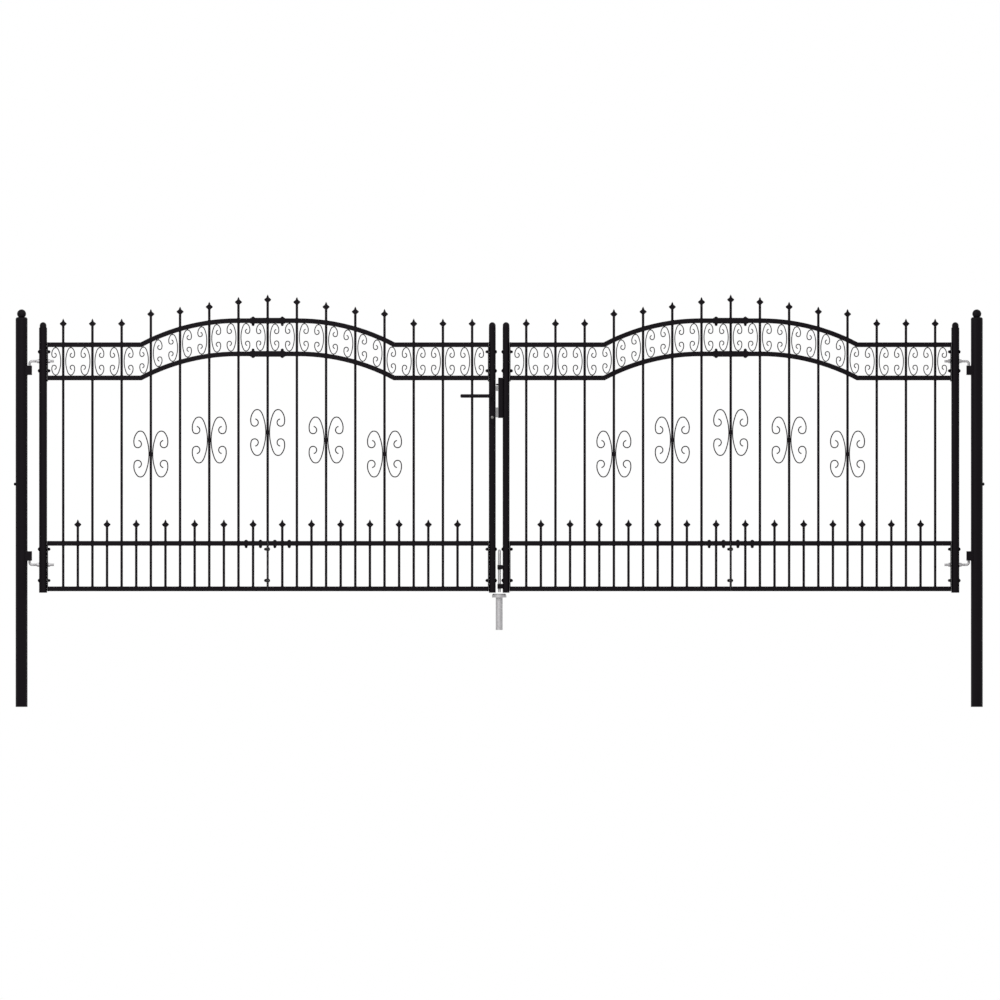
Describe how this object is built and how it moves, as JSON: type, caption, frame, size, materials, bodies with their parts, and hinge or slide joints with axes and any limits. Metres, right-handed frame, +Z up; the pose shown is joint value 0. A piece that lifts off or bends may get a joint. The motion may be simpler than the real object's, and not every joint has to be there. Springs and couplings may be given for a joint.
{
  "type": "double fence gate with posts",
  "caption": "Black steel double-leaf fence gate with an arched top, spear bars, scrollwork, round posts with ball caps, a lever lock and a drop bolt.",
  "frame": {"origin": "centre of the left post's foot face", "axes": "+X from the left post to the right post, +Z up, the front faces -Y and both leaves open towards +Y"},
  "size_m": [4.062, 0.111, 1.7325],
  "materials": {
    "black_coat": "satin black powder coat",
    "black_plastic": "matt black moulded plastic",
    "zinc": "galvanised",
    "lock_steel": "plated steel",
    "nickel": "satin nickel"
  },
  "bodies": {
    "posts": {"left_post": "black_coat", "right_post": "black_coat", "post_caps": "black_plastic", "left_hinge_blocks": "black_coat", "right_hinge_blocks": "black_coat", "ground_socket": "zinc"},
    "left_leaf": {"left_hinge_bolts": "zinc", "left_hinge_stile": "black_coat", "left_meeting_stile": "black_coat", "left_stile_caps": "black_plastic", "left_outer_panel": "black_coat", "left_inner_panel": "black_coat", "left_centre_bar": "black_coat", "left_splice_sleeves": "black_coat", "left_frieze_scrolls": "black_coat", "left_bar_scrolls": "black_coat", "lock_case": "lock_steel", "lock_cylinder": "black_coat", "lock_plug": "nickel", "lever_collars": "black_coat"},
    "right_leaf": {"right_hinge_bolts": "zinc", "right_hinge_stile": "black_coat", "right_meeting_stile": "black_coat", "right_stile_caps": "black_plastic", "right_outer_panel": "black_coat", "right_inner_panel": "black_coat", "right_centre_bar": "black_coat", "right_splice_sleeves": "black_coat", "right_frieze_scrolls": "black_coat", "right_bar_scrolls": "black_coat", "lock_keep": "black_coat", "rod_guides": "black_coat"},
    "lever": {"front_lever": "black_coat", "rear_lever": "black_coat", "lever_spindle": "lock_steel"},
    "latch": {"latch_bolt": "lock_steel"},
    "dead_bolt": {"dead_bolt": "lock_steel"},
    "drop_bolt": {"drop_rod": "zinc"}
  },
  "joints": [
    {"name": "left_leaf_swing", "type": "hinge", "parent": "posts", "child": "left_leaf", "pos_m": [0.0342, 0, 1], "axis": [0, 0, 1], "range_deg": [0, 105]},
    {"name": "right_leaf_swing", "type": "hinge", "parent": "posts", "child": "right_leaf", "pos_m": [3.9778, 0, 1], "axis": [0, 0, -1], "range_deg": [0, 105]},
    {"name": "lever_turn", "type": "hinge", "parent": "left_leaf", "child": "lever", "pos_m": [1.977, 0, 1.306], "axis": [0, -1, 0], "range_deg": [0, 40], "stiffness_Nm_per_rad": 2, "springref_deg": -20.05},
    {"name": "latch_slide", "type": "slide", "parent": "left_leaf", "child": "latch", "axis": [1, 0, 0], "range_m": [-0.0081, 0]},
    {"name": "dead_bolt_slide", "type": "slide", "parent": "left_leaf", "child": "dead_bolt", "axis": [1, 0, 0], "range_m": [0, 0.012]},
    {"name": "drop_bolt_slide", "type": "slide", "parent": "right_leaf", "child": "drop_bolt", "axis": [0, 0, 1], "range_m": [-0.045, 0]}
  ],
  "couplings": [
    {"joint": "latch_slide", "follows": "lever_turn", "m_per_rad": -0.011459}
  ]
}
